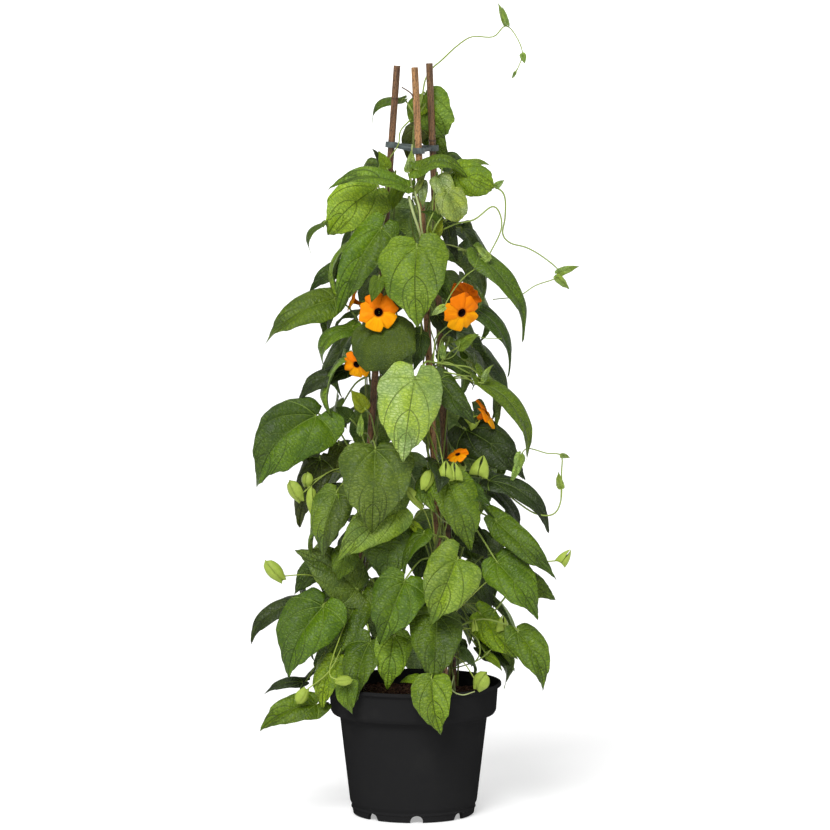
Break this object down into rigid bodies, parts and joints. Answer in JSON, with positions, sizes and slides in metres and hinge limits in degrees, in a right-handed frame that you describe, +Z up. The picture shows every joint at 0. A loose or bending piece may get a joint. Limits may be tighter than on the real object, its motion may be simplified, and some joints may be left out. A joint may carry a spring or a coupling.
{
  "type": "potted climbing plant",
  "caption": "Potted black-eyed susan vine twining up a tripod of bamboo canes held by a clip, in a round black nursery pot filled with soil.",
  "frame": {"origin": "centre of the plant's outline on the floor, which is also the pot's axis at its foot", "axes": "+Z up along the pot's axis, -Y towards the side that the picture shows, +X to its right"},
  "size_m": [0.2834, 0.198, 0.6991],
  "materials": {
    "pot_plastic": "moulded, satin",
    "peat_soil": "crumbly peat",
    "bamboo_left": "dry bamboo",
    "bamboo_front": "dry bamboo",
    "bamboo_right": "dry bamboo",
    "clip_plastic": "matt",
    "leaf_left": "living leaf, satin",
    "leaf_front": "living leaf, satin",
    "leaf_right": "living leaf, satin",
    "bloom_1_petal": "velvety petal",
    "bloom_2_petal": "velvety petal",
    "bloom_3_petal": "velvety petal",
    "bloom_4_petal": "velvety petal",
    "bloom_5_petal": "velvety petal",
    "bloom_6_petal": "velvety petal",
    "bloom_7_petal": "velvety petal",
    "bloom_8_petal": "velvety petal",
    "bloom_9_petal": "velvety petal",
    "bloom_10_petal": "velvety petal"
  },
  "bodies": {
    "root": {"pot": "pot_plastic", "soil": "peat_soil", "cane_left": "bamboo_left", "cane_front": "bamboo_front", "cane_right": "bamboo_right", "cane_clip": "clip_plastic", "vine_left": "leaf_left", "vine_front": "leaf_front", "vine_right": "leaf_right", "bloom_1": "bloom_1_petal", "bloom_2": "bloom_2_petal", "bloom_3": "bloom_3_petal", "bloom_4": "bloom_4_petal", "bloom_5": "bloom_5_petal", "bloom_6": "bloom_6_petal", "bloom_7": "bloom_7_petal", "bloom_8": "bloom_8_petal", "bloom_9": "bloom_9_petal", "bloom_10": "bloom_10_petal"}
  },
  "joints": []
}
